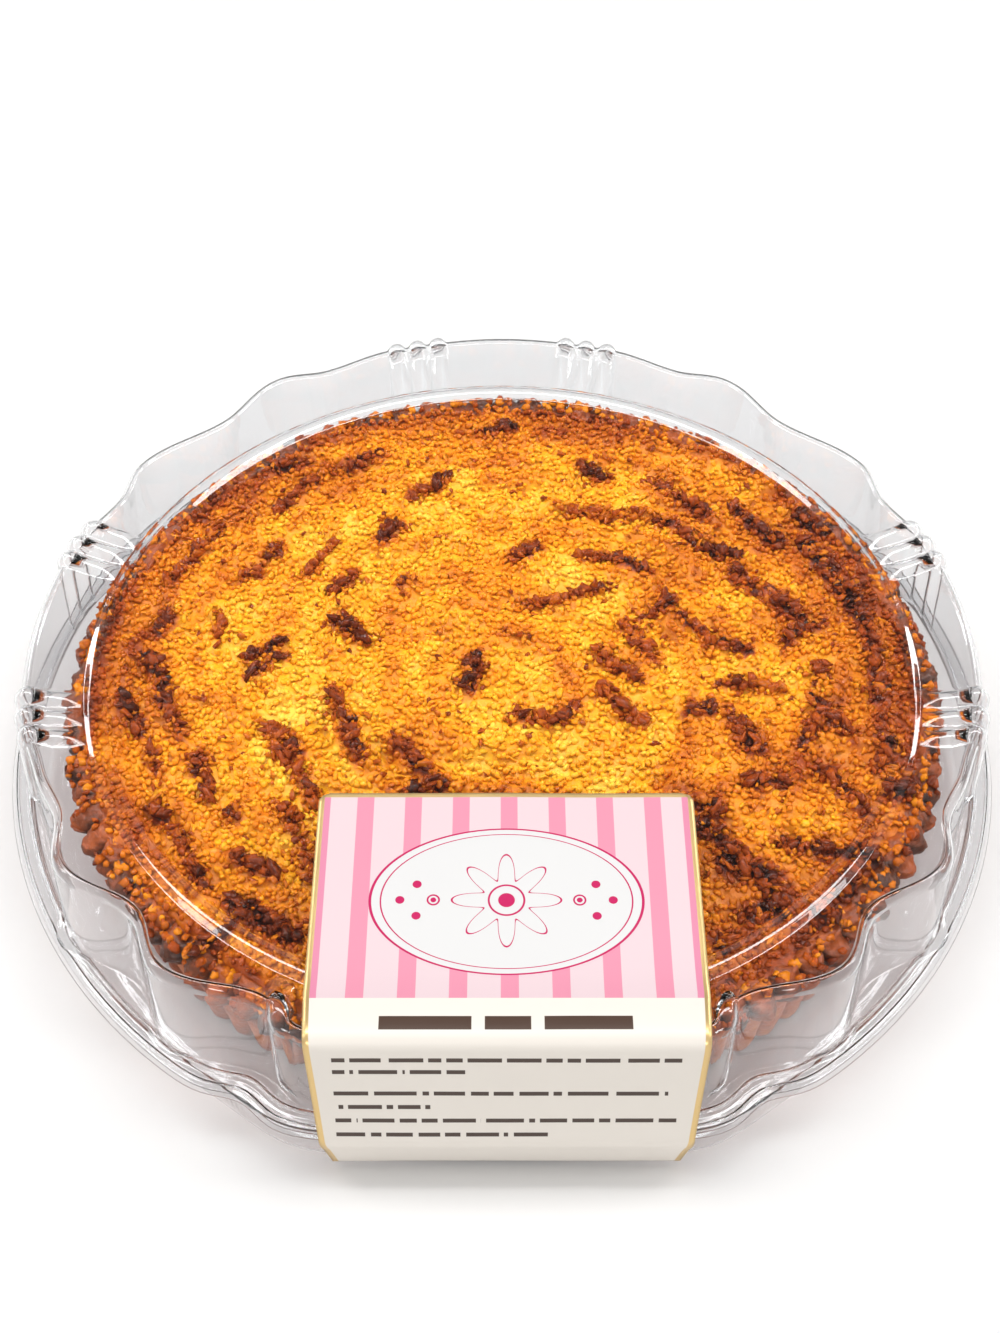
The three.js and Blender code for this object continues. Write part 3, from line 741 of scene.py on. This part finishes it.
lift = lift * (reach > 110) * (grid[..., 2] > 18.5)
grid = grid - normals(grid) * lift[..., None]
points, faces = sheet_shell(grid, SHEET, -1)
lid = piece("clear_lid", points, faces, clear_sheet("clear_lid_pet", "#f2f1f1"))
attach(lid, "root")
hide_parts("lid")


# ==== label ======================================================================================
# A strip of coated paper that seals the pack: pink stripes with a plain oval plaque on the lid, a
# cream field of plain bars on the front, and a gold foil edge. It is bent over the lid's front edge,
# runs down to the flange and is tucked under it.

# the strip's way from its back edge on the lid's panel to its lower end: [y, z]
ROUTE = np.array([
    (-46.9, 45.4), (-80, 45.4), (-98, 45.45), (-104, 46.0), (-110, 47.2), (-114.5, 47.8), (-117.0, 47.5),
    (-118.6, 45.9), (-119.4, 43.0), (-121.6, 34), (-124.2, 24.4), (-126.2, 17.4), (-126.55, 16.4),
    (-126.5, 13.6), (-125.6, 11.0), (-124.3, 3.2), (-124.1, 1.8)])
LABEL_X = 1.0  # the strip was stuck on a little to the right
LABEL_T = 0.22  # with its glue


def smooth_route(route, count, rounds=2):
    """The route with its corners cut twice by a quarter of each leg, then set out in even steps."""
    for _ in range(rounds):
        a, b = route[:-1], route[1:]
        cut = np.stack([0.75 * a + 0.25 * b, 0.25 * a + 0.75 * b], 1).reshape(-1, 2)
        route = np.concatenate([route[:1], cut, route[-1:]])
    far = np.concatenate([[0], np.cumsum(np.linalg.norm(np.diff(route, axis=0), axis=1))])
    even = np.linspace(0, far[-1], count)
    return np.stack([np.interp(even, far, route[:, k]) for k in (0, 1)], -1), even


route, far = smooth_route(ROUTE, 220)
LENGTH = far[-1]
across = np.linspace(-1, 1, 81)
rows, columns = len(far), len(across)
half = np.interp(far, [0, 58, 74, 104, LENGTH], [46.75, 46.75, 45.9, 43.9, 41.8])[:, None]
corner = (3.0 - far).clip(0)[:, None]
half_here = half - (3.0 - np.sqrt((9 - corner ** 2).clip(0)))
x = across[None] * half_here
y, z = route[:, :1] + 0 * x, route[:, 1:] + 0 * x
way = np.gradient(route, axis=0)
way = way / np.linalg.norm(way, axis=1, keepdims=True)
out = np.stack([way[:, 1], -way[:, 0]], -1)[:, None]
bow = 0.12 * noise(x / 21, far[:, None] / 17 + 0 * x, 801) + 0.12
face = np.stack([x + LABEL_X, y + out[..., 0] * (LABEL_T + bow), z + out[..., 1] * (LABEL_T + bow)], -1)
back = np.stack([x + LABEL_X, y + out[..., 0] * bow * 0.9, z + out[..., 1] * bow * 0.9], -1)
total = rows * columns
number = np.arange(total).reshape(rows, columns)
patch = np.stack([number[:-1, :-1], number[1:, :-1], number[1:, 1:], number[:-1, 1:]], -1).reshape(-1, 4)
rim = np.concatenate([number[0, :-1], number[:-1, -1], number[-1, :0:-1], number[:0:-1, 0]])
skirt = np.stack([rim, np.roll(rim, -1), np.roll(rim, -1) + total, rim + total], -1)
faces = [patch, patch[:, ::-1] + total, skirt]
# print coordinates in mm: across from the middle, and along from the strip's back edge
values = {"print_x": np.tile(x.ravel(), 2), "print_s": np.tile(np.repeat(far, columns), 2),
          "print_e": np.tile((half - np.abs(x)).ravel(), 2)}

tree, label_look = material("coated_label_paper")
px, ps, pe = (node(tree, "ShaderNodeAttribute", attribute_name=k).outputs["Fac"]
              for k in ("print_x", "print_s", "print_e"))


def math(operation, *inputs, clamp=False):
    """One Math node's result."""
    made = node(tree, "ShaderNodeMath", dict(enumerate(inputs)), operation=operation, use_clamp=clamp)
    return made.outputs[0]


def inside(low, value, high):
    """1 where value lies between low and high, with edges 0.1 mm soft."""
    up = math("MULTIPLY_ADD", value, 10.0, 0.5 - 10.0 * low, clamp=True)
    down = math("MULTIPLY_ADD", value, -10.0, 0.5 + 10.0 * high, clamp=True)
    return math("MULTIPLY", up, down)


def over(base, colour, mask):
    """base with a colour laid over it where mask is 1."""
    made = node(tree, "ShaderNodeMix", {0: mask, 6: base, 7: linear(colour)}, data_type="RGBA")
    return made.outputs[2]


def ellipse(x0, s0, wide, tall):
    """Distance in mm from an ellipse's edge, negative inside it, taken along its mean radius."""
    dx = math("DIVIDE", math("SUBTRACT", px, x0), wide)
    ds = math("DIVIDE", math("SUBTRACT", ps, s0), tall)
    away = math("SQRT", math("ADD", math("MULTIPLY", dx, dx), math("MULTIPLY", ds, ds)))
    return math("MULTIPLY_ADD", away, (wide + tall) / 2, -(wide + tall) / 2)


FIELD = 59.6  # where the striped field ends and the plain one begins
MAGENTA, WHITE = "#b60a54", "#cecdcc"
striped = inside(-1, ps, FIELD)
stripe_at = math("FRACT", math("MULTIPLY_ADD", px, 1 / 11.9, 10 + (2.1 - 0.7) / 11.9))
stripe = inside(0, math("MULTIPLY", stripe_at, 11.9), 4.2)
colour = over(linear("#d3bdc1"), "#d4889d", stripe)
colour = over(colour, "#cf809a", inside(-1, pe, 3.0))
colour = over(colour, "#ddd6cd", math("SUBTRACT", 1.0, striped))
plaque = ellipse(0, 32, 33.0, 21.0)
for reach, shade in ((0.0, MAGENTA), (-0.55, WHITE), (-2.2, MAGENTA), (-2.5, WHITE)):
    colour = over(colour, shade, inside(-99, plaque, reach))
# a plain rosette of eight petals in the plaque, and two sprigs of dots beside it
ds = math("SUBTRACT", ps, 32.0)
away = math("SQRT", math("ADD", math("MULTIPLY", px, px), math("MULTIPLY", ds, ds)))
swing = math("COSINE", math("MULTIPLY", math("ARCTAN2", ds, px), 8.0))
petal = math("SUBTRACT", away, math("MULTIPLY_ADD", swing, 3.6, 9.5))
colour = over(colour, MAGENTA, inside(-0.25, petal, 0.25))
colour = over(colour, MAGENTA, inside(4.0, away, 4.5))
colour = over(colour, MAGENTA, inside(-9, away, 2.0))
for side in (-1, 1):
    for x0, s0, size in ((17.5, 32, 1.6), (21.5, 27.5, 1.1), (21.5, 36.5, 1.1), (25.5, 32, 1.1)):
        dot = ellipse(side * x0, s0, size, size)
        colour = over(colour, MAGENTA, inside(-9, dot, 0))
        if size > 1.5:
            colour = over(colour, WHITE, inside(-9, dot, -0.45))
            colour = over(colour, MAGENTA, inside(-9, dot, -0.9))
# plain bars in place of a title: from and to, across
for x0, x1 in ((-29, -8), (-5, 5.5), (8.5, 28.5)):
    colour = over(colour, "#4a372d", math("MULTIPLY", inside(x0, px, x1), inside(64.9, ps, 68.5)))
# and rows of short bars in place of text: how far each row runs across, and where it lies along
TEXT_ROWS = ((39.6, 75.6), (-9.3, 79.4), (37.2, 86.4), (-17.6, 90.8), (39.3, 95.2), (9.6, 99.8))
for n, (x1, s0) in enumerate(TEXT_ROWS):
    word = math("FRACT", math("MULTIPLY_ADD", px, 1 / (8.9 + 1.1 * (n % 3)), 5 + 0.37 * n))
    other = math("FRACT", math("MULTIPLY_ADD", px, 1 / 13.7, 5 + 0.61 * n))
    gaps = math("MULTIPLY", math("LESS_THAN", word, 0.88), math("LESS_THAN", other, 0.92))
    bar = math("MULTIPLY", inside(-39.7, px, x1), inside(s0, ps, s0 + 1.3))
    colour = over(colour, "#4a3d36", math("MULTIPLY", bar, gaps))
# the foil edge is stamped on last: gold along the back edge and both sides
foil = math("MAXIMUM", inside(-1, pe, 1.45), inside(-1, ps, 1.3))
colour = over(colour, "#dcbd83", foil)
wear = node(tree, "ShaderNodeTexNoise", {
    "Vector": node(tree, "ShaderNodeTexCoord").outputs["Object"], "Scale": 160.0, "Detail": 2.0})
shine = math("MULTIPLY_ADD", wear.outputs["Fac"], 0.12, 0.36)
sheen = math("SUBTRACT", shine, math("MULTIPLY", foil, 0.10))
metal = math("MULTIPLY", foil, 0.6)
body = node(tree, "ShaderNodeBsdfPrincipled", {
    "Base Color": colour, "Roughness": sheen, "Metallic": metal, "Specular IOR Level": 0.3})
node(tree, "ShaderNodeOutputMaterial", {"Surface": body.outputs[0]})
points = np.concatenate([face.reshape(-1, 3), back.reshape(-1, 3)])
label = piece("paper_label", points, faces, label_look, values)
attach(label, "root")
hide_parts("label")


# ==== studio =====================================================================================
# A white sweep, one wide soft lamp above and behind, a low one in front, and narrow lamps and strips
# at the sides and rear corners that draw the white lines in the clear sheet. The camera is as fitted
# to the photo: 49 degrees above the table, 528 mm from the lid.

bpy.ops.mesh.primitive_plane_add(size=6, location=(0, 0, 0))
floor = bpy.context.object
floor.name = "studio_floor"
tree, floor_look = material("white_studio_paper")
body = node(tree, "ShaderNodeBsdfPrincipled", {
    "Base Color": linear("#dbdad9"), "Roughness": 0.9, "Specular IOR Level": 0.1})
node(tree, "ShaderNodeOutputMaterial", {"Surface": body.outputs[0]})
floor.data.materials.append(floor_look)

# lamps: place, what they point at, width and height, all in m, and power in W
for name, place, aim, wide, tall, power in (
        ("soft_key", (0, 0.30, 1.45), (0, 0, 0.03), 2.4, 0.36, 22.0),
        ("soft_left", (-1.15, -0.15, 0.75), (0, 0, 0.03), 0.16, 0.9, 2.4),
        ("soft_right", (1.15, -0.05, 0.8), (0, 0, 0.03), 0.16, 0.9, 2.4),
        ("soft_front", (0, -1.30, 0.62), (0, 0, 0.03), 1.3, 0.16, 6.3),
        ("edge_left", (-1.15, 1.00, 0.62), (0, 0, 0.03), 0.14, 0.6, 3.1),
        ("edge_right", (1.15, 1.00, 0.62), (0, 0, 0.03), 0.14, 0.6, 3.1),
        ("strip_left", (-1.30, 0.42, 0.66), (0, 0, 0.03), 0.9, 0.1, 2.8),
        ("strip_right", (1.30, 0.42, 0.66), (0, 0, 0.03), 0.9, 0.1, 2.8)):
    lamp = bpy.data.lights.new(name, "AREA")
    lamp.shape, lamp.size, lamp.size_y, lamp.energy = "RECTANGLE", wide, tall, power
    made = bpy.data.objects.new(name, lamp)
    made.location = place
    made.rotation_euler = (Vector(aim) - Vector(place)).to_track_quat("-Z", "Y").to_euler()
    bpy.context.collection.objects.link(made)

# the air is pale overhead, in front and low down, and dim behind, so that the lid's panel, which
# mirrors what is behind it, stays clear and the sheet shows its edges
world = bpy.data.worlds.new("studio_air")
world.use_nodes = True
tree = world.node_tree
tree.nodes.clear()
around = node(tree, "ShaderNodeTexCoord")
split = node(tree, "ShaderNodeSeparateXYZ", {0: around.outputs["Generated"]})
rise = node(tree, "ShaderNodeMapRange", {
    "Value": split.outputs["Z"], "From Min": 0.84, "From Max": 0.97, "To Min": 0.0, "To Max": 0.6})
fore = node(tree, "ShaderNodeMapRange", {
    "Value": split.outputs["Y"], "From Min": 0.1, "From Max": 0.5, "To Min": 0.5, "To Max": 0.06})
low = node(tree, "ShaderNodeMapRange", {
    "Value": split.outputs["Z"], "From Min": 0.26, "From Max": 0.40, "To Min": 0.28, "To Max": 0.0})
ends = node(tree, "ShaderNodeMath", {0: rise.outputs[0], 1: low.outputs[0]}, operation="MAXIMUM")
total = node(tree, "ShaderNodeMath", {0: ends.outputs[0], 1: fore.outputs[0]}, operation="MAXIMUM")
sky = node(tree, "ShaderNodeBackground", {"Color": linear("#ffffff"), "Strength": total.outputs[0]})
node(tree, "ShaderNodeOutputWorld", {"Surface": sky.outputs[0]})
bpy.context.scene.world = world

scene = bpy.context.scene
scene.view_settings.view_transform = "Standard"
camera = bpy.data.cameras.new("camera")
camera.sensor_width = 36
camera.lens = 1842 * 36 / 1333
camera.clip_start, camera.clip_end = 0.01, 20
made = bpy.data.objects.new("camera", camera)
place = Vector((-0.00056, (-326.6 + AXIS_Y) / 1000, 0.4138))
aim = Vector((-0.00056, (21.2 + AXIS_Y) / 1000, 0.016))
made.location = place
made.rotation_euler = (aim - place).to_track_quat("-Z", "Y").to_euler()
bpy.context.collection.objects.link(made)
scene.camera = made
